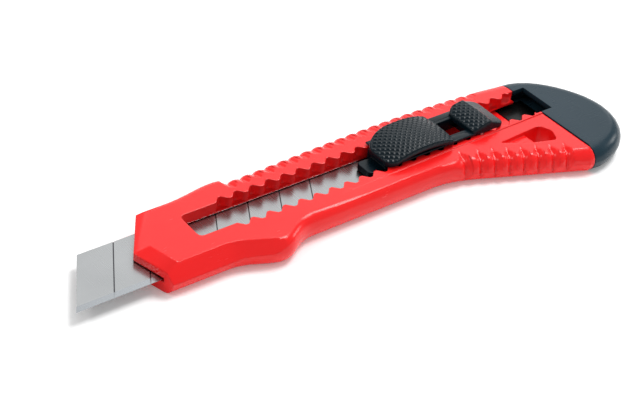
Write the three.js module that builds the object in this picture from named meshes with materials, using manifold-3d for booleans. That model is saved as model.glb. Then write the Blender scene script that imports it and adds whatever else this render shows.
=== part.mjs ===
// Snap-off utility knife. Millimetres. +X runs from the blade to the end cap, +Y across the
// handle and +Z up. The origin is on the flat back, under the centreline of the rack slot.
import * as THREE from 'three';
import Module from 'manifold-3d';

const wasm = await Module();
wasm.setup();

// Blade: the standard 18 mm snap-off size.
const BLADE_LENGTH = 100;
const BLADE_WIDTH = 18;
const BLADE_THICKNESS = 0.5;
const BLADE_END_ANGLE = THREE.MathUtils.degToRad(60);
const SEGMENT_LENGTH = 10;
const SCORE_COUNT = 7;
const SCORE_WIDTH = 0.35;
const SCORE_DEPTH = 0.2;
const EDGE_BEVEL_WIDTH = 1.6;
const EDGE_LAND = 0.05;
const TANG_HOLE_RADIUS = 1.8;
const TANG_HOLE_FROM_END = 6;

// Blade channel and rack slot.
const BLADE_Y = -0.8;
const BLADE_BOTTOM = 3.4;
const BLADE_TOP = BLADE_BOTTOM + BLADE_THICKNESS;
const SIDE_CLEARANCE = 0.4;
const FLOOR_CLEARANCE = 0.4;
const ROOF_CLEARANCE = 0.3;
const CHANNEL_FLOOR = BLADE_BOTTOM - FLOOR_CLEARANCE;
const CHANNEL_ROOF = BLADE_TOP + ROOF_CLEARANCE;
const CHANNEL_NEAR = BLADE_Y - BLADE_WIDTH / 2 - SIDE_CLEARANCE;
const CHANNEL_FAR = BLADE_Y + BLADE_WIDTH / 2 + SIDE_CLEARANCE;
const SLOT_HALF = 4.7;
const SLOT_FRONT_X = -62.6;
const SLOT_CORNER = 1.6;
const SLOT_LIP = 2.7;
const REAR_CHANNEL_HALF = SLOT_HALF + SLOT_LIP;

// Handle: overall sizes, measured from the nose tip to the seam and on to the cap's end.
const HANDLE_LENGTH = 133;
const HANDLE_THICKNESS = 7.6;
const NOSE_X = -79.2;
const NOSE_TIP_Y = -0.8;
const SEAM_X = NOSE_X + HANDLE_LENGTH;
const CAP_LENGTH = 21.1;
const CAP_LEAN = 1.7;
const NEAR_WALL_THICKNESS = 2.8;
const FAR_WALL_THICKNESS = 4;
const NEAR_WALL = CHANNEL_NEAR - NEAR_WALL_THICKNESS;
const FAR_WALL = CHANNEL_FAR + FAR_WALL_THICKNESS;
const FAR_BOW = 3;
const GUARD_X = -44.5;
const GUARD_DEPTH = 4.3;
const FLARE_LENGTH = 45.8;
const FLARE_START_X = SEAM_X - FLARE_LENGTH;
const FLARE_BEND = 6.5;
const FLARE_DEPTH = 16.2;
const EDGE_ROUND_OUT = 2.8;
const EDGE_ROUND_UP = HANDLE_THICKNESS / 2 - 0.3;
const SHOULDER_OUT = 4.5;
const SHOULDER_UP = HANDLE_THICKNESS / 2 + 0.2;
const SHOULDER_SWELL = 2;
const CREASE_SETBACK = 3.1;
const CREASE_SWELL = 2;
const CREASE_SHIFT = 2.4;
const CREASE_DROP = 4;

// Nose: two slanted halves that meet in a point, each chamfered on top down to a thin lip.
const NOSE_NEAR_SLANT = 3.6;
const NOSE_FAR_SLANT = 8.9;
const NOSE_CHAMFER_WIDTH = 3.8;
const NOSE_CHAMFER_DROP = 1.3;

// Rack: notches in both sides of the slot, as many as fit in front of the seam.
const RACK_PITCH = 5;
const RACK_FIRST_X = -49.5;
const RACK_DEPTH = 1.7;
const RACK_FLAT = 0.9;
const RACK_FLOOR = CHANNEL_ROOF + 0.6;
const RACK_TO_SEAM = 2.4;
const RACK_COUNT = Math.floor((SEAM_X - RACK_TO_SEAM - RACK_FIRST_X) / RACK_PITCH) + 1;
const RIM_CUTBACK = 1.8;

// Carriage: the carrier that holds the blade, and the thumb slider on top of it.
const CARRIAGE_BACK_TRAVEL = 25;
const CARRIER_FRONT_X = -7.7;
const CARRIER_REAR_X = 19;
const CARRIER_BASE_FRONT_X = 0.6;
const CARRIER_HALF = SLOT_HALF - 0.5;
const CARRIER_BASE_HALF = REAR_CHANNEL_HALF - SIDE_CLEARANCE;
const CARRIER_TOP = HANDLE_THICKNESS + 0.1;
const BOSS_DROP = 1.6;
const PEG_CLEARANCE = 0.45;
const PEG_RADIUS = TANG_HOLE_RADIUS - PEG_CLEARANCE;
const SLIDER_UNDERSIDE = CARRIER_TOP + 0.3;
const RAIL_THICKNESS = 0.8;
const RAIL_TOP = SLIDER_UNDERSIDE + RAIL_THICKNESS;
const RAIL_OUTER = SLOT_HALF + 1.45;
const RAIL_INNER = SLOT_HALF - 0.7;
const WEB_OUTER = SLOT_HALF - 0.5;
const WEB_INNER = WEB_OUTER - 1.1;
const THUMB_PAD_FRONT_X = -3.8;
const THUMB_PAD_REAR_X = 19.6;
const THUMB_PAD_HALF = SLOT_HALF + 2.1;
const THUMB_PAD_THICKNESS = 1.6;
const THUMB_PAD_CROWN_X = 9.5;
const THUMB_PAD_CROWN = HANDLE_THICKNESS + 4.6;
const THUMB_PAD_FRONT_DROP = 2.6;
const THUMB_PAD_REAR_DROP = 1.9;
const THUMB_PAD_SIDE_DROP = 0.6;
const REAR_PAD_FRONT_X = 27;
const REAR_PAD_CREST_X = 33.6;
const REAR_PAD_CREST = HANDLE_THICKNESS + 4.1;
const SLIDER_REAR_X = 39;
const LEG_FRONT_X = 29;
const LEG_REAR_X = 33;

// End cap.
const SEAM_GAP = 0.3;
const CAP_WALL = 1.6;
const CAP_NOTCH_LENGTH = 4.4;
const CAP_NOTCH_HALF = SLOT_HALF + 1.3;
const SPIGOT_LENGTH = 6;
const SPIGOT_HALF = REAR_CHANNEL_HALF - SIDE_CLEARANCE;
const SPIGOT_TOP = CHANNEL_FLOOR;
const SPIGOT_BOTTOM = 1.7;

// The top is stepped down outside a line beside the slot, more so towards the cap.
const STRIP_FRONT_X = -24;
const STRIP_FULL_X = 2;
const STRIP_STEP = 0.25;
const STRIP_FRONT_Y = -(SLOT_HALF + RACK_DEPTH + 1.9);
const STRIP_REAR_Y = -(SLOT_HALF + RACK_DEPTH + 0.2);

// Grips: rows of round ribs with a valley between each two, and the lanyard hole.
const NEAR_GRIP_COUNT = 8;
const NEAR_GRIP_PITCH = 3.97;
const NEAR_GRIP_FIRST_X = SEAM_X - 35.5;
const NEAR_GRIP_DEPTH = 1.1;
const NEAR_GRIP_REACH = 6.8;
const FAR_GRIP_PITCH = 4.03;
const FAR_GRIP_FIRST_X = -43.4;
const FAR_GRIP_TO_SEAM = 12;
const FAR_GRIP_COUNT = Math.floor((SEAM_X - FAR_GRIP_TO_SEAM - FAR_GRIP_FIRST_X) / FAR_GRIP_PITCH) + 1;
const FAR_GRIP_DEPTH = 0.7;
const FAR_GRIP_REACH = 6;
const RIB_STAND = 0.05;
const RIB_LAND = 0.3;
const LANYARD_REAR_X = SEAM_X - 3.8;
const LANYARD_FRONT_X = LANYARD_REAR_X - 17.6;
const LANYARD_FAR_Y = NEAR_WALL + 2.2;
const LANYARD_WIDTH = 7.7;
const LANYARD_TAPER = 0.8;
const LANYARD_HOLE_LENGTH = 7.4;
const LANYARD_RECESS_DEPTH = 1.4;

// Turn a three.js geometry into a closed solid, joining vertices that coincide.
function solid(geometry) {
  const position = geometry.getAttribute('position');
  const index = geometry.index ? geometry.index.array : null;
  const count = index ? index.length : position.count;
  const seen = new Map();
  const vertices = [];
  const triangles = [];
  for (let i = 0; i < count; i += 3) {
    const corners = [];
    for (let k = 0; k < 3; k += 1) {
      const j = index ? index[i + k] : i + k;
      const point = [position.getX(j), position.getY(j), position.getZ(j)];
      const key = point.map((value) => Math.round(value * 1e4)).join(' ');
      if (!seen.has(key)) {
        seen.set(key, vertices.length / 3);
        vertices.push(...point);
      }
      corners.push(seen.get(key));
    }
    if (corners[0] !== corners[1] && corners[1] !== corners[2] && corners[2] !== corners[0]) {
      triangles.push(...corners);
    }
  }
  return new wasm.Manifold(new wasm.Mesh({
    numProp: 3,
    vertProperties: new Float32Array(vertices),
    triVerts: new Uint32Array(triangles),
  }));
}

// A prism of a plan outline between two heights.
function prism(shape, low, high, curveSegments = 10) {
  const geometry = new THREE.ExtrudeGeometry(shape, {
    depth: high - low, bevelEnabled: false, curveSegments,
  });
  geometry.translate(0, 0, low);
  return solid(geometry);
}

// A side profile in x and z, swept across y.
function crossways(shape, from, to, curveSegments = 10) {
  const geometry = new THREE.ExtrudeGeometry(shape, {
    depth: to - from, bevelEnabled: false, curveSegments,
  });
  geometry.rotateX(Math.PI / 2);
  geometry.translate(0, to, 0);
  return solid(geometry);
}

// An end profile in y and z, swept along x.
function lengthways(shape, from, to, curveSegments = 10) {
  const geometry = new THREE.ExtrudeGeometry(shape, {
    depth: to - from, bevelEnabled: false, curveSegments,
  });
  geometry.rotateX(Math.PI / 2);
  geometry.rotateZ(Math.PI / 2);
  geometry.translate(from, 0, 0);
  return solid(geometry);
}

function block(x0, x1, y0, y1, z0, z1) {
  const geometry = new THREE.BoxGeometry(x1 - x0, y1 - y0, z1 - z0);
  geometry.translate((x0 + x1) / 2, (y0 + y1) / 2, (z0 + z1) / 2);
  return solid(geometry);
}

function polygon(points) {
  return new THREE.Shape(points.map(([x, y]) => new THREE.Vector2(x, y)));
}

// A closed outline whose corners are rounded; each corner is [x, y, radius].
function roundedPolygon(corners) {
  const shape = new THREE.Shape();
  const total = corners.length;
  for (let i = 0; i < total; i += 1) {
    const [x, y, radius] = corners[i];
    const before = corners[(i + total - 1) % total];
    const after = corners[(i + 1) % total];
    const here = new THREE.Vector2(x, y);
    const back = new THREE.Vector2(before[0], before[1]).sub(here).normalize();
    const on = new THREE.Vector2(after[0], after[1]).sub(here).normalize();
    const half = back.angleTo(on) / 2;
    const reach = radius / Math.tan(half);
    const start = here.clone().addScaledVector(back, reach);
    const end = here.clone().addScaledVector(on, reach);
    if (i === 0) {
      shape.moveTo(start.x, start.y);
    } else {
      shape.lineTo(start.x, start.y);
    }
    if (radius > 0) {
      shape.quadraticCurveTo(x, y, end.x, end.y);
    }
  }
  shape.closePath();
  return shape;
}

// Plan outline of handle and cap together. It runs on past the nose, which is cut square later.
const nearFront = new THREE.Vector2(NOSE_X - 14, NEAR_WALL);
const guardPeak = NEAR_WALL - GUARD_DEPTH;
const seamNearY = NEAR_WALL - FLARE_DEPTH;
const flareRun = SEAM_X - FLARE_START_X;
const flareSlope = FLARE_DEPTH / (flareRun - FLARE_BEND);
const seamFarY = FAR_WALL;
const capHalf = (seamFarY - seamNearY) / 2;
const capMiddle = (seamFarY + seamNearY) / 2;

function nearWallAt(x) {
  const past = x - (FLARE_START_X + FLARE_BEND);
  return NEAR_WALL - flareSlope * Math.max(0, past);
}

function farWallAt(x) {
  const along = (x - (GUARD_X + 3)) / (SEAM_X - GUARD_X - 3);
  const t = Math.min(Math.max(along, 0), 1);
  return FAR_WALL + 0.6 * (1 - t) + FAR_BOW * 4 * t * (1 - t) * (0.35 + 0.65 * t);
}

// Swell pushes the guard and the wall behind it outwards, and shift moves the guard's peak back
// along the handle; the crease is cut with both.
function bodyOutline(swell, shift) {
  const guard = GUARD_X + shift;
  const peak = guardPeak - swell;
  const rear = NEAR_WALL - swell;
  const shape = new THREE.Shape();
  shape.moveTo(nearFront.x, nearFront.y);
  shape.lineTo(GUARD_X - 14, NEAR_WALL - 0.2);
  shape.bezierCurveTo(GUARD_X - 8, NEAR_WALL - 0.3 - 0.3 * swell, guard - 5, peak, guard, peak);
  shape.bezierCurveTo(guard + 4, peak, guard + 6, rear, guard + 12, rear);
  shape.lineTo(FLARE_START_X, rear);
  const flareOn = FLARE_START_X + 2 * FLARE_BEND;
  shape.quadraticCurveTo(FLARE_START_X + FLARE_BEND, NEAR_WALL, flareOn, nearWallAt(flareOn));
  shape.lineTo(SEAM_X - 1.5, nearWallAt(SEAM_X - 1.5));
  const steps = 20;
  for (let i = 1; i < steps; i += 1) {
    const turn = (Math.PI * i) / steps - Math.PI / 2;
    const lean = 1 - (CAP_LEAN / capHalf) * Math.sin(2 * turn) * Math.cos(turn);
    const x = SEAM_X + CAP_LENGTH * lean * Math.cos(turn);
    shape.lineTo(x, capMiddle + capHalf * lean * Math.sin(turn));
  }
  const farSteps = 14;
  for (let i = 0; i <= farSteps; i += 1) {
    const x = SEAM_X + (GUARD_X + 3 - SEAM_X) * (i / farSteps);
    shape.lineTo(x, farWallAt(x));
  }
  const bump = farWallAt(GUARD_X + 3) + 1.1;
  shape.bezierCurveTo(GUARD_X + 1, farWallAt(GUARD_X), GUARD_X, bump, GUARD_X - 3, bump);
  shape.bezierCurveTo(GUARD_X - 8, bump, GUARD_X - 12, FAR_WALL + 0.1, GUARD_X - 18, FAR_WALL);
  shape.lineTo(nearFront.x, FAR_WALL - 0.4);
  shape.closePath();
  return shape;
}

function bodyBlank() {
  const rounded = new THREE.ExtrudeGeometry(bodyOutline(0, 0), {
    depth: HANDLE_THICKNESS - 2 * EDGE_ROUND_UP,
    bevelEnabled: true,
    bevelThickness: EDGE_ROUND_UP,
    bevelSize: EDGE_ROUND_OUT,
    bevelOffset: -EDGE_ROUND_OUT,
    bevelSegments: 5,
    curveSegments: 9,
  });
  rounded.translate(0, 0, EDGE_ROUND_UP);
  const chamfered = new THREE.ExtrudeGeometry(bodyOutline(CREASE_SWELL, CREASE_SHIFT), {
    depth: 20,
    bevelEnabled: true,
    bevelThickness: CREASE_DROP,
    bevelSize: CREASE_SETBACK,
    bevelOffset: -CREASE_SETBACK,
    bevelSegments: 1,
    curveSegments: 9,
  });
  chamfered.translate(0, 0, HANDLE_THICKNESS + 0.02 - CREASE_DROP - 20);
  // A straight crease runs along the near edge, from the nose to the back of the guard.
  const creaseFoot = HANDLE_THICKNESS - CREASE_DROP + 0.03;
  const nearEdge = block(NOSE_X - 30, GUARD_X + 13.3, -60, -4, creaseFoot, 20);
  // Behind the guard the top edge has a wider round, which grows on the near side with the flare.
  const shouldered = new THREE.ExtrudeGeometry(bodyOutline(SHOULDER_SWELL, 0), {
    depth: 20,
    bevelEnabled: true,
    bevelThickness: SHOULDER_UP,
    bevelSize: SHOULDER_OUT,
    bevelOffset: -SHOULDER_OUT,
    bevelSegments: 5,
    curveSegments: 9,
  });
  shouldered.translate(0, 0, HANDLE_THICKNESS + 0.02 - SHOULDER_UP - 20);
  const shoulderFoot = HANDLE_THICKNESS - SHOULDER_UP + 0.05;
  const topEdge = block(GUARD_X - 1, SEAM_X + 60, -60, 60, shoulderFoot, 20);
  return solid(rounded)
    .subtract(nearEdge.subtract(solid(chamfered)))
    .subtract(topEdge.subtract(solid(shouldered)));
}

const blank = bodyBlank();

function noseCut(body) {
  const nearY = NEAR_WALL - 6;
  const farY = FAR_WALL + 6;
  const nearX = NOSE_X + (NOSE_NEAR_SLANT * (NOSE_TIP_Y - nearY)) / (NOSE_TIP_Y - NEAR_WALL);
  const farX = NOSE_X + (NOSE_FAR_SLANT * (farY - NOSE_TIP_Y)) / (FAR_WALL - NOSE_TIP_Y);
  const ahead = polygon([
    [NOSE_X, NOSE_TIP_Y], [nearX, nearY], [NOSE_X - 60, nearY],
    [NOSE_X - 60, farY], [farX, farY],
  ]);
  let cut = body.subtract(prism(ahead, -5, 20));
  // Each chamfer is a wedge laid along one slanted edge of the nose.
  for (const [endX, endY, side] of [[nearX, nearY, -1], [farX, farY, 1]]) {
    const run = new THREE.Vector2(endX - NOSE_X, endY - NOSE_TIP_Y);
    const wedge = polygon([
      [-1, HANDLE_THICKNESS - NOSE_CHAMFER_DROP * (1 + 1 / NOSE_CHAMFER_WIDTH)],
      [NOSE_CHAMFER_WIDTH, HANDLE_THICKNESS],
      [NOSE_CHAMFER_WIDTH, HANDLE_THICKNESS + 6],
      [-1, HANDLE_THICKNESS + 6],
    ]);
    const geometry = new THREE.ExtrudeGeometry(wedge, { depth: run.length() + 8, bevelEnabled: false });
    geometry.rotateX(Math.PI / 2);
    geometry.translate(0, side > 0 ? run.length() + 8 - 4 : 4, 0);
    geometry.rotateZ(Math.atan2(run.y, run.x) - (side * Math.PI) / 2);
    geometry.translate(NOSE_X, NOSE_TIP_Y, 0);
    cut = cut.subtract(solid(geometry));
  }
  return cut;
}

// The valley between two round ribs. Its section is two arcs that meet in a cusp, and it runs over
// the top edge and down the side wall, and fades out on the top and above the back.
function gripValley(x, y, pitch, depth, side, turn, topReach, steps) {
  const half = pitch / 2;
  const rise = depth + RIB_STAND;
  const ribRadius = (half * half + rise * rise) / (2 * rise);
  const cusp = new THREE.Shape();
  const reach = half - RIB_LAND;
  cusp.moveTo(-reach, side * (depth + 1));
  for (let i = 0; i <= 2 * steps; i += 1) {
    const across = reach * (i / steps - 1);
    const fromCrown = half - Math.abs(across);
    const height = Math.sqrt(ribRadius * ribRadius - fromCrown * fromCrown) - ribRadius + RIB_STAND;
    cusp.lineTo(across, side * height);
  }
  cusp.lineTo(reach, side * (depth + 1));
  cusp.closePath();
  const top = HANDLE_THICKNESS;
  const path = new THREE.CatmullRomCurve3([
    new THREE.Vector3(0, -side * topReach, top + depth + 0.1),
    new THREE.Vector3(0, -side * (SHOULDER_OUT + 0.3), top + 0.02),
    new THREE.Vector3(0, -side * 0.29 * SHOULDER_OUT, top - 0.29 * SHOULDER_UP),
    new THREE.Vector3(0, 0, top - SHOULDER_UP),
    new THREE.Vector3(0, side * 0.1, EDGE_ROUND_UP - 0.6),
    new THREE.Vector3(0, side * depth, 0.6),
  ]);
  const geometry = new THREE.ExtrudeGeometry(cusp, { steps: 8, bevelEnabled: false, extrudePath: path });
  geometry.rotateZ(turn);
  geometry.translate(x, y, 0);
  return solid(geometry);
}

function makeHousing() {
  let body = noseCut(blank);
  body = body.subtract(block(SEAM_X, SEAM_X + 60, -60, 60, -5, 20));

  const strip = new THREE.Shape();
  strip.moveTo(STRIP_FRONT_X, HANDLE_THICKNESS);
  strip.lineTo(STRIP_FULL_X, HANDLE_THICKNESS - STRIP_STEP);
  strip.lineTo(SEAM_X + 5, HANDLE_THICKNESS - STRIP_STEP);
  strip.lineTo(SEAM_X + 5, HANDLE_THICKNESS + 5);
  strip.lineTo(STRIP_FRONT_X, HANDLE_THICKNESS + 5);
  strip.closePath();
  const outside = polygon([
    [STRIP_FRONT_X - 1, -60], [SEAM_X + 6, -60],
    [SEAM_X + 6, STRIP_REAR_Y], [STRIP_FRONT_X - 1, STRIP_FRONT_Y],
  ]);
  body = body.subtract(crossways(strip, -60, 0).intersect(prism(outside, -5, 20)));

  const channelEnd = CARRIAGE_BACK_TRAVEL + 2;
  body = body.subtract(block(
    NOSE_X - 20, channelEnd, CHANNEL_NEAR, CHANNEL_FAR, CHANNEL_FLOOR, CHANNEL_ROOF,
  ));
  const half = REAR_CHANNEL_HALF;
  body = body.subtract(block(channelEnd - 1, SEAM_X + 5, -half, half, CHANNEL_FLOOR, CHANNEL_ROOF));
  const pocketFront = SEAM_X - SPIGOT_LENGTH - 0.4;
  body = body.subtract(block(pocketFront, SEAM_X + 5, -half, half, SPIGOT_BOTTOM - 0.3, CHANNEL_ROOF));

  const slot = roundedPolygon([
    [SLOT_FRONT_X, -SLOT_HALF, SLOT_CORNER], [SEAM_X + 5, -SLOT_HALF, 0],
    [SEAM_X + 5, SLOT_HALF, 0], [SLOT_FRONT_X, SLOT_HALF, SLOT_CORNER],
  ]);
  body = body.subtract(prism(slot, CHANNEL_FLOOR, HANDLE_THICKNESS + 5, 5));

  // Rack notches: one on each side of the slot at every pitch.
  const mouth = (RACK_PITCH - RACK_FLAT) / 2;
  const root = RACK_FLAT / 2;
  const reach = SLOT_HALF + RACK_DEPTH;
  for (let i = 0; i < RACK_COUNT; i += 1) {
    const x = RACK_FIRST_X + i * RACK_PITCH;
    const notch = polygon([
      [x - mouth, -SLOT_HALF], [x - root, -reach], [x + root, -reach], [x + mouth, -SLOT_HALF],
      [x + mouth, SLOT_HALF], [x + root, reach], [x - root, reach], [x - mouth, SLOT_HALF],
    ]);
    body = body.subtract(prism(notch, RACK_FLOOR, HANDLE_THICKNESS + 5));
  }
  // The rims are cut back next to the cap, so that the slider's leg can pass into it.
  body = body.subtract(block(
    SEAM_X - RIM_CUTBACK, SEAM_X + 5, -CAP_NOTCH_HALF, CAP_NOTCH_HALF,
    RACK_FLOOR, HANDLE_THICKNESS + 5,
  ));

  // Lanyard hole: a shallow three-cornered recess whose wide rear part goes right through.
  const lanyardNear = LANYARD_FAR_Y - LANYARD_WIDTH;
  const recess = roundedPolygon([
    [LANYARD_FRONT_X, LANYARD_FAR_Y - LANYARD_TAPER, 0.3], [LANYARD_REAR_X - 8.5, lanyardNear + 2.2, 3],
    [LANYARD_REAR_X - 1.8, lanyardNear, 1.6], [LANYARD_REAR_X, lanyardNear + 4, 2],
    [LANYARD_REAR_X - 1.6, LANYARD_FAR_Y, 1.8],
  ]);
  const recessFloor = HANDLE_THICKNESS - LANYARD_RECESS_DEPTH;
  body = body.subtract(prism(recess, recessFloor, HANDLE_THICKNESS + 5, 6));
  const holeFront = LANYARD_REAR_X - LANYARD_HOLE_LENGTH;
  const hole = prism(recess, -5, HANDLE_THICKNESS + 5, 6)
    .intersect(block(holeFront, LANYARD_REAR_X + 5, -60, 0, -6, 30));
  body = body.subtract(hole);

  const flareTurn = -Math.atan(flareSlope);
  for (let i = 0; i < NEAR_GRIP_COUNT; i += 1) {
    const x = NEAR_GRIP_FIRST_X + i * NEAR_GRIP_PITCH;
    const turn = flareTurn * Math.min(1, (i + 1) / 2);
    const valley = gripValley(
      x, nearWallAt(x), NEAR_GRIP_PITCH, NEAR_GRIP_DEPTH, -1, turn, NEAR_GRIP_REACH, 4,
    );
    body = body.subtract(valley);
  }
  for (let i = 0; i < FAR_GRIP_COUNT; i += 1) {
    const x = FAR_GRIP_FIRST_X + i * FAR_GRIP_PITCH;
    const turn = Math.atan((farWallAt(x + 1) - farWallAt(x - 1)) / 2);
    const valley = gripValley(
      x, farWallAt(x), FAR_GRIP_PITCH, FAR_GRIP_DEPTH, 1, turn, FAR_GRIP_REACH, 3,
    );
    body = body.subtract(valley);
  }
  return body;
}

function makeBlade() {
  const lean = BLADE_WIDTH / Math.tan(BLADE_END_ANGLE);
  const front = -BLADE_LENGTH;
  const near = BLADE_Y - BLADE_WIDTH / 2;
  const far = BLADE_Y + BLADE_WIDTH / 2;
  const outline = polygon([[front, near], [0, near], [0, far - 2], [-2, far], [front + lean, far]]);
  let blade = prism(outline, BLADE_BOTTOM, BLADE_TOP);
  // The cutting edge is ground from both faces.
  const grind = (BLADE_THICKNESS - EDGE_LAND) / 2;
  for (const face of [1, -1]) {
    const level = face > 0 ? BLADE_TOP : BLADE_BOTTOM;
    const wedge = polygon([
      [near - 1, level - face * (grind * (1 + 1 / EDGE_BEVEL_WIDTH))],
      [near + EDGE_BEVEL_WIDTH, level],
      [near + EDGE_BEVEL_WIDTH, level + face],
      [near - 1, level + face],
    ]);
    blade = blade.subtract(lengthways(wedge, front - 1, 1));
  }
  // Each score runs a millimetre past both edges, so that it cuts them cleanly.
  const overX = Math.cos(BLADE_END_ANGLE);
  const overY = Math.sin(BLADE_END_ANGLE);
  for (let i = 0; i < SCORE_COUNT; i += 1) {
    const foot = front + (i + 1) * SEGMENT_LENGTH;
    const score = polygon([
      [foot - overX, near - overY], [foot - overX + SCORE_WIDTH, near - overY],
      [foot + lean + overX + SCORE_WIDTH, far + overY], [foot + lean + overX, far + overY],
    ]);
    blade = blade.subtract(prism(score, BLADE_TOP - SCORE_DEPTH, BLADE_TOP + 1));
  }
  const hole = new THREE.Shape();
  hole.absarc(-TANG_HOLE_FROM_END, 0, TANG_HOLE_RADIUS, 0, Math.PI * 2, false);
  return blade.subtract(prism(hole, 0, 10, 12));
}

function makeCarrier() {
  const bossNear = -(CARRIER_HALF - 0.5);
  const bossFar = CARRIER_HALF - 1.8;
  const boss = roundedPolygon([
    [CARRIER_FRONT_X, bossNear, 1.6], [CARRIER_FRONT_X + 8, bossNear, 0],
    [CARRIER_FRONT_X + 8, bossFar, 0], [CARRIER_FRONT_X, bossFar, 1.6],
  ]);
  const overBlade = BLADE_TOP + ROOF_CLEARANCE;
  const keel = BLADE_BOTTOM - 0.1;
  const half = CARRIER_HALF;
  let carrier = prism(boss, overBlade, CARRIER_TOP - BOSS_DROP, 5);
  carrier = carrier.add(block(THUMB_PAD_FRONT_X + 1.4, CARRIER_REAR_X, -half, half, overBlade, CARRIER_TOP));
  carrier = carrier.add(block(CARRIER_BASE_FRONT_X, CARRIER_REAR_X, -half, half, keel, CARRIER_TOP - 1));
  const base = roundedPolygon([
    [CARRIER_BASE_FRONT_X, -CARRIER_BASE_HALF, 0.5], [CARRIER_REAR_X, -CARRIER_BASE_HALF, 1.5],
    [CARRIER_REAR_X, CARRIER_BASE_HALF, 1.5], [CARRIER_BASE_FRONT_X, CARRIER_BASE_HALF, 0.5],
  ]);
  carrier = carrier.add(prism(base, keel, BLADE_TOP, 4));
  const peg = new THREE.Shape();
  peg.absarc(-TANG_HOLE_FROM_END, 0, PEG_RADIUS, 0, Math.PI * 2, false);
  return carrier.add(prism(peg, BLADE_BOTTOM, CARRIER_TOP - 2, 10));
}

// The arched side of the thumb pad: its top line, then the same line back at the given depth below.
function padArch(depth) {
  const front = THUMB_PAD_FRONT_X - 1;
  const rear = THUMB_PAD_REAR_X + 1;
  const crest = THUMB_PAD_CROWN_X;
  const top = THUMB_PAD_CROWN;
  const frontTop = top - THUMB_PAD_FRONT_DROP;
  const rearTop = top - THUMB_PAD_REAR_DROP;
  const shape = new THREE.Shape();
  shape.moveTo(front, frontTop);
  shape.quadraticCurveTo((front + crest) / 2 - 1.5, top, crest, top);
  shape.quadraticCurveTo((rear + crest) / 2 + 1.5, top, rear, rearTop);
  shape.lineTo(rear, rearTop - depth);
  shape.quadraticCurveTo((rear + crest) / 2 + 1.5, top - depth, crest, top - depth);
  shape.quadraticCurveTo((front + crest) / 2 - 1.5, top - depth, front, frontTop - depth);
  shape.closePath();
  return shape;
}

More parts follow.
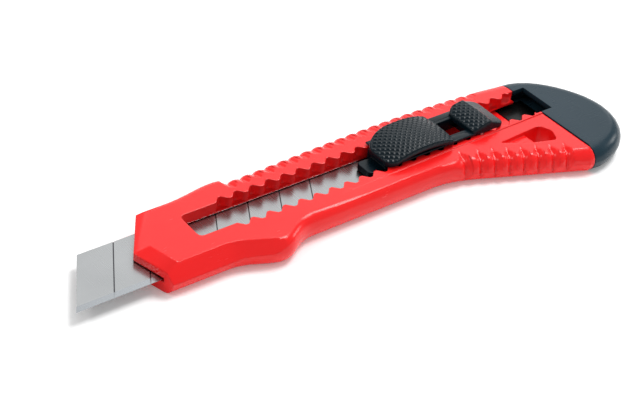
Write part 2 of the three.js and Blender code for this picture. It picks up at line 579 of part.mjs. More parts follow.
function makeSlider() {
  const front = THUMB_PAD_FRONT_X;
  const rear = THUMB_PAD_REAR_X;
  // The pad's plan is square at the rear, and swept back in front, more so on the far side.
  const padPlan = new THREE.Shape();
  padPlan.moveTo(front, -THUMB_PAD_HALF + 3.6);
  padPlan.bezierCurveTo(
    front, -THUMB_PAD_HALF + 1.4, front + 1, -THUMB_PAD_HALF, front + 3.2, -THUMB_PAD_HALF,
  );
  padPlan.lineTo(rear - 0.9, -THUMB_PAD_HALF);
  padPlan.quadraticCurveTo(rear, -THUMB_PAD_HALF, rear, -THUMB_PAD_HALF + 0.9);
  padPlan.lineTo(rear, THUMB_PAD_HALF - 0.9);
  padPlan.quadraticCurveTo(rear, THUMB_PAD_HALF, rear - 0.9, THUMB_PAD_HALF);
  padPlan.lineTo(front + 11, THUMB_PAD_HALF);
  padPlan.bezierCurveTo(
    front + 5, THUMB_PAD_HALF, front, THUMB_PAD_HALF - 2.6, front, THUMB_PAD_HALF - 6.4,
  );
  padPlan.closePath();
  const padEnd = new THREE.Shape();
  const edge = THUMB_PAD_HALF + 1;
  padEnd.moveTo(-edge, SLIDER_UNDERSIDE);
  padEnd.lineTo(edge, SLIDER_UNDERSIDE);
  padEnd.lineTo(edge, THUMB_PAD_CROWN - THUMB_PAD_SIDE_DROP);
  padEnd.quadraticCurveTo(
    0, THUMB_PAD_CROWN + THUMB_PAD_SIDE_DROP, -edge, THUMB_PAD_CROWN - THUMB_PAD_SIDE_DROP,
  );
  padEnd.closePath();
  const plan = prism(padPlan, SLIDER_UNDERSIDE, THUMB_PAD_CROWN + 2, 7);
  let slider = plan
    .intersect(crossways(padArch(THUMB_PAD_THICKNESS), -20, 20, 8))
    .intersect(lengthways(padEnd, front - 5, rear + 5, 8));
  // Under the arch the pad stands on a narrower neck.
  const neck = plan
    .intersect(block(front + 1.6, rear - 1.2, -RAIL_OUTER + 0.7, RAIL_OUTER - 0.7, SLIDER_UNDERSIDE, 30))
    .intersect(crossways(padArch(20), -20, 20, 8));
  const neckTop = THUMB_PAD_CROWN - THUMB_PAD_SIDE_DROP - 0.6;
  slider = slider.add(neck.subtract(block(-60, 60, -20, 20, neckTop, 40)));

  const railFront = rear - 3;
  const railRear = REAR_PAD_FRONT_X + 2;
  for (const [y0, y1] of [[-RAIL_OUTER, -RAIL_INNER], [RAIL_INNER, RAIL_OUTER]]) {
    slider = slider.add(block(railFront, railRear, y0, y1, SLIDER_UNDERSIDE, RAIL_TOP));
  }
  // Each rail has a web that hangs down between the rims.
  for (const [y0, y1] of [[-WEB_OUTER, -WEB_INNER], [WEB_INNER, WEB_OUTER]]) {
    slider = slider.add(block(railFront + 2.6, railRear + 1, y0, y1, RACK_FLOOR, RAIL_TOP - 0.1));
  }
  slider = slider.add(block(
    front + 2.4, rear - 1, -RAIL_OUTER, RAIL_OUTER, SLIDER_UNDERSIDE, SLIDER_UNDERSIDE + 0.6,
  ));

  const rearPlan = roundedPolygon([
    [REAR_PAD_FRONT_X, -RAIL_OUTER, 1.2], [SLIDER_REAR_X, -RAIL_OUTER, 2],
    [SLIDER_REAR_X, RAIL_OUTER, 2], [REAR_PAD_FRONT_X, RAIL_OUTER, 3.4],
  ]);
  const crest = REAR_PAD_CREST;
  const crestX = REAR_PAD_CREST_X;
  const rearSide = new THREE.Shape();
  rearSide.moveTo(REAR_PAD_FRONT_X - 1, SLIDER_UNDERSIDE);
  rearSide.lineTo(SLIDER_REAR_X + 1, SLIDER_UNDERSIDE);
  rearSide.lineTo(SLIDER_REAR_X + 1, RAIL_TOP);
  rearSide.lineTo(SLIDER_REAR_X, RAIL_TOP);
  rearSide.lineTo(crestX + 0.5, crest - 0.4);
  rearSide.quadraticCurveTo(crestX, crest, crestX - 1, crest - 0.1);
  rearSide.quadraticCurveTo(REAR_PAD_FRONT_X + 3, crest - 0.6, REAR_PAD_FRONT_X - 1, RAIL_TOP + 0.9);
  rearSide.closePath();
  const rearPad = prism(rearPlan, SLIDER_UNDERSIDE, crest + 1, 6);
  slider = slider.add(rearPad.intersect(crossways(rearSide, -20, 20, 6)));

  // The leg reaches down between the rims; its side teeth stop just short of the rack's tips.
  const middle = (LEG_FRONT_X + LEG_REAR_X) / 2;
  const legHalf = CARRIER_HALF - 1.1;
  const leg = polygon([
    [LEG_FRONT_X, -legHalf], [middle, -CARRIER_HALF], [LEG_REAR_X, -legHalf],
    [LEG_REAR_X, legHalf], [middle, CARRIER_HALF], [LEG_FRONT_X, legHalf],
  ]);
  return slider.add(prism(leg, RACK_FLOOR, SLIDER_UNDERSIDE + 0.5));
}

function makeCap() {
  const front = SEAM_X + SEAM_GAP;
  let cap = blank.intersect(block(front, SEAM_X + 60, -60, 60, -5, 20));
  // The cap is a shell, open towards the handle.
  const inset = CAP_WALL + 0.6;
  const depth = CAP_LENGTH - SEAM_GAP - inset;
  const hollow = new THREE.Shape();
  hollow.moveTo(front - 5, capMiddle - capHalf + inset);
  hollow.lineTo(front, capMiddle - capHalf + inset);
  hollow.absellipse(
    front, capMiddle, depth, capHalf - inset, -Math.PI / 2, Math.PI / 2, false, 0,
  );
  hollow.lineTo(front - 5, capMiddle + capHalf - inset);
  hollow.closePath();
  cap = cap.subtract(prism(hollow, CAP_WALL, HANDLE_THICKNESS - CAP_WALL, 12));
  cap = cap.subtract(block(
    front - 1, SEAM_X + CAP_NOTCH_LENGTH, -CAP_NOTCH_HALF, CAP_NOTCH_HALF,
    CAP_WALL + 0.6, HANDLE_THICKNESS + 5,
  ));
  // A flat tongue goes into the pocket in the handle's channel.
  const half = SPIGOT_HALF;
  cap = cap.add(block(front, SEAM_X + 8, -half, half, CAP_WALL - 0.5, SPIGOT_TOP));
  const tongue = roundedPolygon([
    [SEAM_X - SPIGOT_LENGTH, -half, 1], [front + 1, -half, 0],
    [front + 1, half, 0], [SEAM_X - SPIGOT_LENGTH, half, 1],
  ]);
  return cap.add(prism(tongue, SPIGOT_BOTTOM, SPIGOT_TOP, 4));
}

const redPlastic = new THREE.MeshStandardMaterial({ color: 0xd81820, roughness: 0.32 });
const blackPlastic = new THREE.MeshStandardMaterial({ color: 0x1c2124, roughness: 0.5 });
const capPlastic = new THREE.MeshStandardMaterial({ color: 0x262d31, roughness: 0.45 });
const bladeSteel = new THREE.MeshStandardMaterial({ color: 0xb8babc, roughness: 0.25, metalness: 1 });

const knife = new THREE.Group();

function addPiece(name, body, material) {
  const result = body.getMesh();
  const geometry = new THREE.BufferGeometry();
  const points = new Float32Array(result.vertProperties);
  geometry.setAttribute('position', new THREE.BufferAttribute(points, 3));
  geometry.setIndex(new THREE.BufferAttribute(new Uint32Array(result.triVerts), 1));
  geometry.computeVertexNormals();
  const mesh = new THREE.Mesh(geometry, material);
  mesh.name = name;
  knife.add(mesh);
}

addPiece('housing', makeHousing(), redPlastic);
addPiece('blade', makeBlade(), bladeSteel);
addPiece('blade_carrier', makeCarrier(), blackPlastic);
addPiece('thumb_slider', makeSlider(), blackPlastic);
addPiece('end_cap', makeCap(), capPlastic);

export default knife;
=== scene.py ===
"""Snap-off utility knife: moulded red handle, steel blade, knurled slider and dark end cap."""
import math

import bmesh
import bpy
from mathutils import Matrix, Vector


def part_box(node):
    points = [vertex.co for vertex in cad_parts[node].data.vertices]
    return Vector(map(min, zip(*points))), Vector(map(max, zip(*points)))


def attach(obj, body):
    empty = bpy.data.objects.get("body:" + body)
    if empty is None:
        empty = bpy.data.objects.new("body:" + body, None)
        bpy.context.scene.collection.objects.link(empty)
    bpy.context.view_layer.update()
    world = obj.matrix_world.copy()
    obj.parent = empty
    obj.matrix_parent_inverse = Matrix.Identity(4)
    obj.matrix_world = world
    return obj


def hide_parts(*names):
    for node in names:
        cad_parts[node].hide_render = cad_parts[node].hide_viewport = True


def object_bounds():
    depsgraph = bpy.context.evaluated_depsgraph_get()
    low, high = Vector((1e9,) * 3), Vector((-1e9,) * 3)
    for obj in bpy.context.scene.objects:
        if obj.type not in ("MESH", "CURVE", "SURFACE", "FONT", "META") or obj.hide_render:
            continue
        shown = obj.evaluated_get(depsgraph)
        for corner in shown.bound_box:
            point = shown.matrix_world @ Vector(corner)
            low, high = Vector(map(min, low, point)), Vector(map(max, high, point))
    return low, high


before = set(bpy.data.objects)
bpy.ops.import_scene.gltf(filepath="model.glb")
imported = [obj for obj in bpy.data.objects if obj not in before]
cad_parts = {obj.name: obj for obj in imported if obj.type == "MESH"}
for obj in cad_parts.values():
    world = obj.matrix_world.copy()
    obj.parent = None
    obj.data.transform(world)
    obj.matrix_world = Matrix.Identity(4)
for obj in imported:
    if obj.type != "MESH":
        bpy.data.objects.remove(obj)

cad_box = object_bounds()

MM = 0.001

# Where things are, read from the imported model.
HANDLE_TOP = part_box("housing")[1].z
SLIDER_LOW, SLIDER_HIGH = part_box("thumb_slider")
BLADE_LOW, BLADE_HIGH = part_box("blade")
TONGUE_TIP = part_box("end_cap")[0].x

# Camera: it looks down on the near side from the blade end.
CAMERA_AIM = Vector((-22.0, -1.4, 0.0)) * MM
CAMERA_DISTANCE = 381.7 * MM
CAMERA_AZIMUTH = math.radians(-41.67)
CAMERA_HEIGHT = math.radians(36.83)
CAMERA_ROLL = math.radians(7.12)
CAMERA_LENS = 81.19
SENSOR_WIDTH = 36.0

# Slider: the front pad is an arched plate on a narrower neck, the rear pad rises to a crest and
# ramps down behind it. A corner's two values are how far its round reaches along and across.
REAR_PAD_HALF = 6.15 * MM
THUMB_PAD_LENGTH = 23.4 * MM
THUMB_PAD_CORNERS = {
    "front_near": (3.2 * MM, 3.4 * MM), "front_far": (10.5 * MM, 6.2 * MM),
    "rear_near": (0.9 * MM, 0.9 * MM), "rear_far": (0.9 * MM, 0.9 * MM),
}
THUMB_PAD_THICKNESS = 1.6 * MM
THUMB_PAD_CREST = 13.3 * MM
THUMB_PAD_FRONT_DROP = 2.6 * MM
THUMB_PAD_REAR_DROP = 1.9 * MM
THUMB_PAD_SIDE_DROP = 0.6 * MM
THUMB_PAD_ARCH = 2.3
THUMB_PAD_EDGE = 0.35 * MM
NECK_FRONT_SETBACK = 1.6 * MM
NECK_REAR_SETBACK = 1.2 * MM
NECK_HALF = REAR_PAD_HALF - 0.7 * MM
NECK_CORNERS = {
    "front_near": (1.6 * MM, 1.6 * MM), "front_far": (8.0 * MM, 4.4 * MM),
    "rear_near": (0.8 * MM, 0.8 * MM), "rear_far": (0.8 * MM, 0.8 * MM),
}
NECK_TOP_DROP = 0.7 * MM
NECK_EDGE = 0.3 * MM
NECK_STEP = 0.6 * MM
REAR_PAD_LENGTH = 12.0 * MM
REAR_PAD_EDGE = 0.4 * MM
REAR_PAD_FRONT_LIP = 0.9 * MM
REAR_PAD_RISE = 1.9
REAR_PAD_SIDE_DROP = 0.35 * MM
REAR_PAD_CORNERS = {
    "front_near": (1.2 * MM, 1.2 * MM), "front_far": (3.4 * MM, 3.4 * MM),
    "rear_near": (2.0 * MM, 2.0 * MM), "rear_far": (2.0 * MM, 2.0 * MM),
}
REAR_PAD_CREST = HANDLE_TOP + 4.0 * MM
REAR_PAD_CREST_BACK = 5.9 * MM
RAIL_TOP = HANDLE_TOP + 1.2 * MM
SLIDER_UNDERSIDE = HANDLE_TOP + 0.4 * MM
RAIL_INNER = 4.0 * MM
WEB_INNER = 3.1 * MM
WEB_OUTER = 4.2 * MM
PLATE_FRONT_SETBACK = 2 * MM
PLATE_REAR_SETBACK = 1 * MM
PLATE_THICKNESS = 0.6 * MM
LEG_HALF = 3.6 * MM
LEG_FRONT = 2 * MM
LEG_REAR = 6 * MM
FRAME_EDGE = 0.25 * MM

# The notch in the cap's front edge, whose floor gets painted shade: where it ends behind the tip of
# the cap's tongue, how far it reaches to each side, where below the handle's top the painted shade
# starts and where it is full, and how wide its soft rim is.
NOTCH_END = 10.5 * MM
NOTCH_HALF = 6.1 * MM
NOTCH_SHADE_FROM = 0.6 * MM
NOTCH_SHADE_FULL = 2.4 * MM
NOTCH_RIM = 0.1 * MM

# Blade: how wide the honed edge is, and how deep a scored line has to be to get painted shade.
HONED_WIDTH = 1.6 * MM
HONED_BLEND = 0.1 * MM
SCORE_SHADE_DEPTH = 0.1 * MM

# Crossed grooves on both pads. They fade in from the rim of a pad.
KNURL_PITCH = 1.3 * MM
KNURL_DEPTH = 0.34 * MM
KNURL_FADE_FROM = 0.05 * MM
KNURL_FADE_TO = 0.4 * MM
GRID_PER_DIAMOND = 8
KNURL_STEP = KNURL_PITCH / math.sqrt(2) / (GRID_PER_DIAMOND / 2)

# Floor: half its width in metres, and how far it lies below the knife.
FLOOR_HALF = 6.0
FLOOR_GAP = 0.05 * MM


def aim(thing, place, target):
    thing.location = place
    thing.rotation_mode = "QUATERNION"
    thing.rotation_quaternion = (target - place).to_track_quat("-Z", "Y")


def add_camera():
    camera = bpy.data.objects.new("camera", bpy.data.cameras.new("camera"))
    bpy.context.scene.collection.objects.link(camera)
    camera.data.lens = CAMERA_LENS
    camera.data.sensor_width = SENSOR_WIDTH
    camera.data.clip_start = 0.01
    camera.data.clip_end = 20
    back = Vector((
        math.sin(CAMERA_AZIMUTH) * math.cos(CAMERA_HEIGHT),
        -math.cos(CAMERA_AZIMUTH) * math.cos(CAMERA_HEIGHT),
        math.sin(CAMERA_HEIGHT),
    ))
    aim(camera, CAMERA_AIM + back * CAMERA_DISTANCE, CAMERA_AIM)
    roll = Matrix.Rotation(CAMERA_ROLL, 3, "Z").to_quaternion()
    camera.rotation_quaternion = camera.rotation_quaternion @ roll
    bpy.context.scene.camera = camera


def add_softbox(name, place, target, width, height, power, colour=(1, 1, 1)):
    data = bpy.data.lights.new(name, "AREA")
    data.shape = "RECTANGLE"
    data.size = width
    data.size_y = height
    data.energy = power
    data.color = colour
    light = bpy.data.objects.new(name, data)
    bpy.context.scene.collection.objects.link(light)
    aim(light, Vector(place), Vector(target))


def add_studio():
    world = bpy.data.worlds.new("studio")
    world.use_nodes = True
    world.node_tree.nodes["Background"].inputs["Color"].default_value = (1, 1, 1, 1)
    world.node_tree.nodes["Background"].inputs["Strength"].default_value = 0.5
    bpy.context.scene.world = world
    bpy.context.scene.view_settings.view_transform = "Standard"
    # The wall is what the flat faces mirror. The overhead lights the edges along the handle, the
    # strip those turned towards the cap, and the front those turned towards the blade.
    add_softbox("wall", (0.48, 0.54, 0.54), (0, 0, 0), 1.0, 1.0, 3.1)
    add_softbox("overhead", (0.32, 0.03, 0.7), (0, 0, 0), 0.32, 0.32, 3.9)
    add_softbox("strip", (0.9, -0.12, 0.28), (0, 0, 0), 0.2, 0.2, 0.7)
    add_softbox("front", (-0.66, 0.23, 0.63), (-0.06, 0, 0), 0.2, 0.2, 1.0)

    sheet = bmesh.new()
    bmesh.ops.create_grid(sheet, x_segments=1, y_segments=1, size=FLOOR_HALF)
    data = bpy.data.meshes.new("floor")
    sheet.to_mesh(data)
    sheet.free()
    floor = bpy.data.objects.new("floor", data)
    bpy.context.scene.collection.objects.link(floor)
    floor.location.z = cad_box[0].z - FLOOR_GAP
    floor.data.materials.append(paper_floor())


# Materials ------------------------------------------------------------------------------------

def start_material(name):
    material = bpy.data.materials.new(name)
    material.use_nodes = True
    nodes = material.node_tree.nodes
    return material, nodes, material.node_tree.links, nodes["Principled BSDF"]


def noise(nodes, links, where, scale, detail=4.0, roughness=0.5):
    texture = nodes.new("ShaderNodeTexNoise")
    texture.inputs["Scale"].default_value = scale
    texture.inputs["Detail"].default_value = detail
    texture.inputs["Roughness"].default_value = roughness
    links.new(where, texture.inputs["Vector"])
    return texture.outputs["Fac"]


def spread(nodes, links, value, low, high, out_low, out_high):
    """Stretch a value from one range to another and hold it there."""
    node = nodes.new("ShaderNodeMapRange")
    node.inputs["From Min"].default_value = low
    node.inputs["From Max"].default_value = high
    node.inputs["To Min"].default_value = out_low
    node.inputs["To Max"].default_value = out_high
    links.new(value, node.inputs["Value"])
    return node.outputs["Result"]


def mix_colour(nodes, links, amount, first, second):
    node = nodes.new("ShaderNodeMix")
    node.data_type = "RGBA"
    links.new(amount, node.inputs["Factor"])
    for colour, socket in ((first, node.inputs[6]), (second, node.inputs[7])):
        if isinstance(colour, tuple):
            socket.default_value = (*colour, 1)
        else:
            links.new(colour, socket)
    return node.outputs[2]


def multiply(nodes, links, first, second):
    node = nodes.new("ShaderNodeMath")
    node.operation = "MULTIPLY"
    links.new(first, node.inputs[0])
    links.new(second, node.inputs[1])
    return node.outputs[0]


def bump(nodes, links, height, strength, distance, after=None):
    node = nodes.new("ShaderNodeBump")
    node.inputs["Strength"].default_value = strength
    node.inputs["Distance"].default_value = distance
    links.new(height, node.inputs["Height"])
    if after is not None:
        links.new(after, node.inputs["Normal"])
    return node.outputs["Normal"]


def object_place(nodes, links, stretch=(1, 1, 1), turn=0.0):
    place = nodes.new("ShaderNodeTexCoord").outputs["Object"]
    mapping = nodes.new("ShaderNodeMapping")
    mapping.inputs["Scale"].default_value = stretch
    mapping.inputs["Rotation"].default_value = (0, 0, turn)
    links.new(place, mapping.inputs["Vector"])
    return mapping.outputs["Vector"]


def paper_floor():
    material, nodes, links, shader = start_material("white_paper")
    place = object_place(nodes, links)
    shader.inputs["Base Color"].default_value = (0.93, 0.93, 0.93, 1)
    shader.inputs["Roughness"].default_value = 0.9
    shader.inputs["Emission Color"].default_value = (1, 1, 1, 1)
    shader.inputs["Emission Strength"].default_value = 0.12
    grain = noise(nodes, links, place, 900, 3)
    links.new(bump(nodes, links, grain, 0.1, 0.00005), shader.inputs["Normal"])
    return material


def moulded_plastic(name, main, other, gloss_low, gloss_high, shine, ripple=0.1, edge_round=0.0):
    """Moulded plastic: a slightly uneven colour, hairline rubs in the gloss and a faint ripple."""
    material, nodes, links, shader = start_material(name)
    shader.inputs["Specular IOR Level"].default_value = shine
    place = object_place(nodes, links)
    along = object_place(nodes, links, (0.12, 1, 1), math.radians(8))
    cloud = noise(nodes, links, place, 55, 3)
    links.new(
        mix_colour(nodes, links, spread(nodes, links, cloud, 0.35, 0.65, 0, 1), main, other),
        shader.inputs["Base Color"],
    )
    rubs = noise(nodes, links, along, 1900, 6, 0.62)
    haze = noise(nodes, links, place, 140, 4)
    gloss = nodes.new("ShaderNodeMath")
    gloss.operation = "ADD"
    links.new(spread(nodes, links, rubs, 0.5, 0.8, 0, (gloss_high - gloss_low) * 0.6), gloss.inputs[0])
    links.new(spread(nodes, links, haze, 0.3, 0.7, gloss_low, gloss_high), gloss.inputs[1])
    links.new(gloss.outputs[0], shader.inputs["Roughness"])
    wave = noise(nodes, links, place, 90, 2)
    pores = noise(nodes, links, place, 2600, 3)
    edges = None
    if edge_round:
        rounded = nodes.new("ShaderNodeBevel")
        rounded.samples = 8
        rounded.inputs["Radius"].default_value = edge_round
        edges = rounded.outputs["Normal"]
    first = bump(nodes, links, wave, ripple, 0.0004, edges)
    links.new(bump(nodes, links, pores, 0.12, 0.00002, first), shader.inputs["Normal"])
    return material


def paint_notch_shade(material):
    """Paint shade on the floor of the cap's notch, which no light gets to, as a colour close to black."""
    nodes, links = material.node_tree.nodes, material.node_tree.links
    base = nodes["Principled BSDF"].inputs["Base Color"]
    split = nodes.new("ShaderNodeSeparateXYZ")
    links.new(object_place(nodes, links), split.inputs[0])
    x, y, z = split.outputs
    end = TONGUE_TIP + NOTCH_END
    darkest = HANDLE_TOP - NOTCH_SHADE_FULL
    ahead = spread(nodes, links, x, end, end + NOTCH_RIM, 1, 0)
    deep = spread(nodes, links, z, darkest, HANDLE_TOP - NOTCH_SHADE_FROM, 1, 0)
    near = spread(nodes, links, y, -NOTCH_HALF - NOTCH_RIM, -NOTCH_HALF, 0, 1)
    far = spread(nodes, links, y, NOTCH_HALF, NOTCH_HALF + NOTCH_RIM, 1, 0)
    lengthwise = multiply(nodes, links, ahead, deep)
    inside = multiply(nodes, links, lengthwise, multiply(nodes, links, near, far))
    # Painted shade: the notch floor's colour is mixed towards near-black.
    links.new(mix_colour(nodes, links, inside, base.links[0].from_socket, (0.001, 0.001, 0.001)), base)


def ground_steel():
    """Blade steel: faint grinding lines, a cloudy tone, painted shade in the scored lines and a bluish
    honed edge.
    """
    material, nodes, links, shader = start_material("ground_steel")
    across = object_place(nodes, links, (1, 0.02, 1), math.radians(-30))
    lines = noise(nodes, links, across, 4200, 5, 0.6)
    place = object_place(nodes, links)
    cloud = spread(nodes, links, noise(nodes, links, place, 90, 4), 0.3, 0.7, 0, 1)
    split = nodes.new("ShaderNodeSeparateXYZ")
    links.new(place, split.inputs[0])
    y, z = split.outputs[1:]
    facing = nodes.new("ShaderNodeSeparateXYZ")
    links.new(nodes.new("ShaderNodeNewGeometry").outputs["Normal"], facing.inputs[0])

    edge = BLADE_LOW.y + HONED_WIDTH
    honed = spread(nodes, links, y, edge - HONED_BLEND, edge + HONED_BLEND, 1, 0)
    body = spread(nodes, links, y, edge + HONED_BLEND, edge + 2 * HONED_BLEND, 0, 1)
    bottom = BLADE_HIGH.z - SCORE_SHADE_DEPTH
    sunk = spread(nodes, links, z, bottom, bottom + SCORE_SHADE_DEPTH / 2, 1, 0)
    level = spread(nodes, links, facing.outputs["Z"], 0.9, 0.95, 0, 1)
    scored = multiply(nodes, links, multiply(nodes, links, sunk, level), body)

    steel = mix_colour(nodes, links, cloud, (0.32, 0.33, 0.335), (0.35, 0.36, 0.365))
    edged = mix_colour(nodes, links, honed, steel, (0.27, 0.285, 0.30))
    # Painted shade: the floor of each scored groove is coloured near-black.
    links.new(mix_colour(nodes, links, scored, edged, (0.05, 0.05, 0.055)), shader.inputs["Base Color"])
    shader.inputs["Metallic"].default_value = 1
    links.new(spread(nodes, links, lines, 0.3, 0.7, 0.25, 0.28), shader.inputs["Roughness"])
    links.new(bump(nodes, links, lines, 0.02, 0.000003), shader.inputs["Normal"])
    return material


# Pieces ---------------------------------------------------------------------------------------

def finished(name, shape, body, material, slot, *nodes):
    data = bpy.data.meshes.new(name)
    shape.to_mesh(data)
    shape.free()
    data.materials.append(material)
    piece = bpy.data.objects.new(name, data)
    bpy.context.scene.collection.objects.link(piece)
    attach(piece, body)
    if nodes:
        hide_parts(*nodes)
    return piece


def merged_copy(node):
    """The node's solid as one joined mesh with its flat faces whole."""
    shape = bmesh.new()
    shape.from_mesh(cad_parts[node].data)
    bmesh.ops.remove_doubles(shape, verts=shape.verts, dist=0.002 * MM)
    bmesh.ops.dissolve_limit(shape, angle_limit=math.radians(0.6), verts=shape.verts, edges=shape.edges)
    return shape


def soften_edges(piece, width, least_angle, steps):
    for face in piece.data.polygons:
        face.use_smooth = True
    rounding = piece.modifiers.new("moulded_edges", "BEVEL")
    rounding.width = width
    rounding.segments = steps
    rounding.limit_method = "ANGLE"
    rounding.angle_limit = math.radians(least_angle)
    rounding.use_clamp_overlap = False
    rounding.miter_outer = "MITER_ARC"
    rounding.harden_normals = False
    keep_faces_flat(piece)


def keep_faces_flat(piece):
    normals = piece.modifiers.new("flat_faces_stay_flat", "WEIGHTED_NORMAL")
    normals.keep_sharp = True
    normals.weight = 100


def make_handle(red):
    shape = merged_copy("housing")
    handle = finished("handle_shell", shape, "handle", red, "housing_plastic", "housing")
    smooth_by_angle(handle, 30)
    keep_faces_flat(handle)


def make_cap(slate):
    shape = merged_copy("end_cap")
    cap = finished("end_cap_shell", shape, "cap", slate, "cap_plastic", "end_cap")
    smooth_by_angle(cap, 30)
    keep_faces_flat(cap)


def make_carrier(black):
    shape = merged_copy("blade_carrier")
    carrier = finished("carrier_block", shape, "carriage", black, "slider_plastic", "blade_carrier")
    soften_edges(carrier, 0.3 * MM, 32, 3)


def corner_reach(point, low, high, corners):
    """The corner a plan point belongs to, its two reaches, and the point's place from the two edges."""
    x, y = point
    side = "near" if y < (low[1] + high[1]) / 2 else "far"
    end = "front" if x - low[0] < corners["front_" + side][0] else "rear"
    along, across = corners[f"{end}_{side}"]
    to_end = x - low[0] if end == "front" else high[0] - x
    to_side = y - low[1] if side == "near" else high[1] - y
    return along, across, to_end, to_side


def pad_distance(point, low, high, corners):
    """About how far a plan point is inside a rectangle with a different round at each corner."""
    along, across, to_end, to_side = corner_reach(point, low, high, corners)
    if to_end < along and to_side < across:
        out = math.hypot((along - to_end) / along, (across - to_side) / across)
        return (1 - out) * min(along, across)
    return min(to_end, to_side)


def trim_corners(shape, low, high, corners, cuts=9):
    for key, (along, across) in corners.items():
        end, side = key.split("_")
        x_way = -1 if end == "front" else 1
        y_way = -1 if side == "near" else 1
        centre = Vector((
            (low[0] + along) if x_way < 0 else (high[0] - along),
            (low[1] + across) if y_way < 0 else (high[1] - across),
            0,
        ))
        for k in range(cuts):
            turn = math.pi / 2 * (k + 0.5) / cuts
            place = centre + Vector((x_way * along * math.cos(turn), y_way * across * math.sin(turn), 0))
            out = Vector((x_way * math.cos(turn) / along, y_way * math.sin(turn) / across, 0)).normalized()
            bmesh.ops.bisect_plane(
                shape, geom=shape.verts[:] + shape.edges[:] + shape.faces[:], dist=0.001 * MM,
                plane_co=place, plane_no=out, clear_outer=True,
            )


def knurl_height(x, y, pitch):
    """Height of crossed grooves: pyramids with their tips at 1 and the grooves at 0."""
    total = 1.0
    for along in ((x + y) / math.sqrt(2), (x - y) / math.sqrt(2)):
        phase = (along / pitch) % 1.0
        total = min(total, 1 - abs(2 * phase - 1))
    return total


def smooth_step(value, low, high):
    t = min(max((value - low) / (high - low), 0), 1)
    return t * t * (3 - 2 * t)


def pad_solid(low, high, corners, top_at, under_at, knurl_at, edge_round, step):
    """A closed pad: two sheets trimmed to the plan, one raised to the top and one to the underside,
    and a wall that joins their rims."""
    shape = bmesh.new()
    length = high[0] - low[0]
    width = high[1] - low[1]
    bmesh.ops.create_grid(shape, x_segments=round(length / step), y_segments=round(width / step), size=0.5)
    centre = Vector(((low[0] + high[0]) / 2, (low[1] + high[1]) / 2, 0))
    bmesh.ops.scale(shape, vec=(length, width, 1), verts=shape.verts)
    bmesh.ops.translate(shape, vec=centre, verts=shape.verts)
    trim_corners(shape, low, high, corners)
    top = shape.verts[:]
    copied = bmesh.ops.duplicate(shape, geom=shape.verts[:] + shape.edges[:] + shape.faces[:])["geom"]
    under = [part for part in copied if isinstance(part, bmesh.types.BMVert)]
    for vert in top:
        x, y = vert.co.x, vert.co.y
        inside = max(pad_distance((x, y), low, high, corners), 0)
        z = top_at(x, y)
        if inside < edge_round:
            z -= edge_round - math.sqrt(edge_round ** 2 - (edge_round - inside) ** 2)
        share = smooth_step(inside, KNURL_FADE_FROM, KNURL_FADE_TO) * knurl_at(x, y)
        z -= KNURL_DEPTH * share * (1 - knurl_height(x - centre.x, y - centre.y, KNURL_PITCH))
        vert.co.z = z
    for vert in under:
        vert.co.z = under_at(vert.co.x, vert.co.y)
    bmesh.ops.bridge_loops(shape, edges=[edge for edge in shape.edges if edge.is_boundary])
    bmesh.ops.recalc_face_normals(shape, faces=shape.faces)
    return shape


def smooth_by_angle(piece, angle):
    for face in piece.data.polygons:
        face.use_smooth = True
    piece.data.set_sharp_from_angle(angle=math.radians(angle))


def make_thumb_pad(black):
    low = (SLIDER_LOW.x, SLIDER_LOW.y)
    high = (SLIDER_LOW.x + THUMB_PAD_LENGTH, SLIDER_HIGH.y)
    crest_x = low[0] + THUMB_PAD_CREST
    crown = SLIDER_HIGH.z

    def top_at(x, y):
        if x < crest_x:
            fall = THUMB_PAD_FRONT_DROP * ((crest_x - x) / (crest_x - low[0])) ** THUMB_PAD_ARCH
        else:
            fall = THUMB_PAD_REAR_DROP * ((x - crest_x) / (high[0] - crest_x)) ** THUMB_PAD_ARCH
        return crown - fall - THUMB_PAD_SIDE_DROP * (y / high[1]) ** 2

    shape = pad_solid(
        low, high, THUMB_PAD_CORNERS, top_at, lambda x, y: top_at(x, y) - THUMB_PAD_THICKNESS,
        lambda x, y: 1.0, THUMB_PAD_EDGE, KNURL_STEP,
    )
    pad = finished("thumb_pad", shape, "carriage", black, "slider_plastic", "thumb_slider")
    smooth_by_angle(pad, 50)

    neck_low = (low[0] + NECK_FRONT_SETBACK, -NECK_HALF)
    neck_high = (high[0] - NECK_REAR_SETBACK, NECK_HALF)
    shape = pad_solid(
        neck_low, neck_high, NECK_CORNERS, lambda x, y: top_at(x, y) - NECK_TOP_DROP,
        lambda x, y: SLIDER_UNDERSIDE, lambda x, y: 0.0, NECK_EDGE, NECK_STEP,
    )
    neck = finished("thumb_pad_neck", shape, "carriage", black, "slider_plastic")
    smooth_by_angle(neck, 50)


def make_rear_pad(black):
    low = (SLIDER_HIGH.x - REAR_PAD_LENGTH, -REAR_PAD_HALF)
    high = (SLIDER_HIGH.x, REAR_PAD_HALF)
    crest_x = high[0] - REAR_PAD_CREST_BACK

    rise = REAR_PAD_CREST - RAIL_TOP

    def top_at(x, y):
        if x < crest_x:
            back = (crest_x - x) / (crest_x - low[0])
            z = REAR_PAD_CREST - (rise - REAR_PAD_FRONT_LIP) * back ** REAR_PAD_RISE
        else:
            on = (x - crest_x) / (high[0] - crest_x)
            z = REAR_PAD_CREST - rise * (0.15 * smooth_step(on, 0, 0.25) + 0.85 * on)
        return z - REAR_PAD_SIDE_DROP * (y / REAR_PAD_HALF) ** 2 * (z - RAIL_TOP) / rise

    def knurl_at(x, y):
        return 1 - smooth_step(x, crest_x - 0.1 * MM, crest_x + 0.5 * MM)

    shape = pad_solid(
        low, high, REAR_PAD_CORNERS, top_at, lambda x, y: SLIDER_UNDERSIDE, knurl_at,
        REAR_PAD_EDGE, KNURL_STEP,
    )
    pad = finished("rear_pad", shape, "carriage", black, "slider_plastic")
    smooth_by_angle(pad, 50)


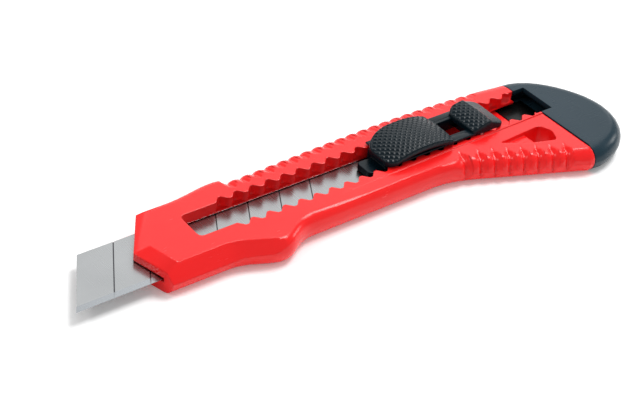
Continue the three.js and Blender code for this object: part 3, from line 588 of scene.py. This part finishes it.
def add_block(shape, low, high):
    made = bmesh.ops.create_cube(shape, size=1)["verts"]
    size = Vector(high) - Vector(low)
    bmesh.ops.scale(shape, vec=size, verts=made)
    bmesh.ops.translate(shape, vec=(Vector(high) + Vector(low)) / 2, verts=made)
    return made


def make_slider_frame(black):
    """The plate under the front pad, the two rails with their webs and the leg down into the slot."""
    shape = bmesh.new()
    front = SLIDER_LOW.x
    pad_rear = front + THUMB_PAD_LENGTH
    rear_pad_front = SLIDER_HIGH.x - REAR_PAD_LENGTH
    add_block(
        shape, (front + PLATE_FRONT_SETBACK, -REAR_PAD_HALF, SLIDER_UNDERSIDE),
        (pad_rear - PLATE_REAR_SETBACK, REAR_PAD_HALF, SLIDER_UNDERSIDE + PLATE_THICKNESS),
    )
    for side in (-1, 1):
        inner, outer = side * RAIL_INNER, side * REAR_PAD_HALF
        add_block(
            shape, (pad_rear - 3 * MM, min(inner, outer), SLIDER_UNDERSIDE),
            (rear_pad_front + 2 * MM, max(inner, outer), RAIL_TOP),
        )
        inner, outer = side * WEB_INNER, side * WEB_OUTER
        add_block(
            shape, (pad_rear - 0.4 * MM, min(inner, outer), SLIDER_LOW.z),
            (rear_pad_front + 3 * MM, max(inner, outer), RAIL_TOP - 0.1 * MM),
        )
    add_block(
        shape, (rear_pad_front + LEG_FRONT, -LEG_HALF, SLIDER_LOW.z),
        (rear_pad_front + LEG_REAR, LEG_HALF, SLIDER_UNDERSIDE + 0.5 * MM),
    )
    bmesh.ops.bevel(
        shape, geom=shape.edges[:], offset=FRAME_EDGE, offset_type="OFFSET", affect="EDGES",
        segments=3, profile=0.5, material=-1, clamp_overlap=True,
    )
    piece = finished("slider_frame", shape, "carriage", black, "slider_plastic")
    smooth_by_angle(piece, 40)


add_camera()
add_studio()

red = moulded_plastic(
    "red_gloss_plastic", (0.90, 0.014, 0.014), (0.86, 0.010, 0.011), 0.16, 0.26, 0.32,
    ripple=0.12, edge_round=0.55 * MM,
)
black = moulded_plastic(
    "black_slider_plastic", (0.001, 0.006, 0.010), (0.002, 0.009, 0.014), 0.2, 0.3, 0.17,
)
slate = moulded_plastic(
    "slate_cap_plastic", (0.008, 0.026, 0.039), (0.012, 0.031, 0.045), 0.22, 0.3, 0.18,
    edge_round=0.3 * MM,
)
# The cap's material gets painted shade on the floor of its notch.
paint_notch_shade(slate)

make_handle(red)
make_cap(slate)
make_carrier(black)
make_thumb_pad(black)
make_rear_pad(black)
make_slider_frame(black)

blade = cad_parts["blade"]
blade.data.materials.clear()
blade.data.materials.append(ground_steel())
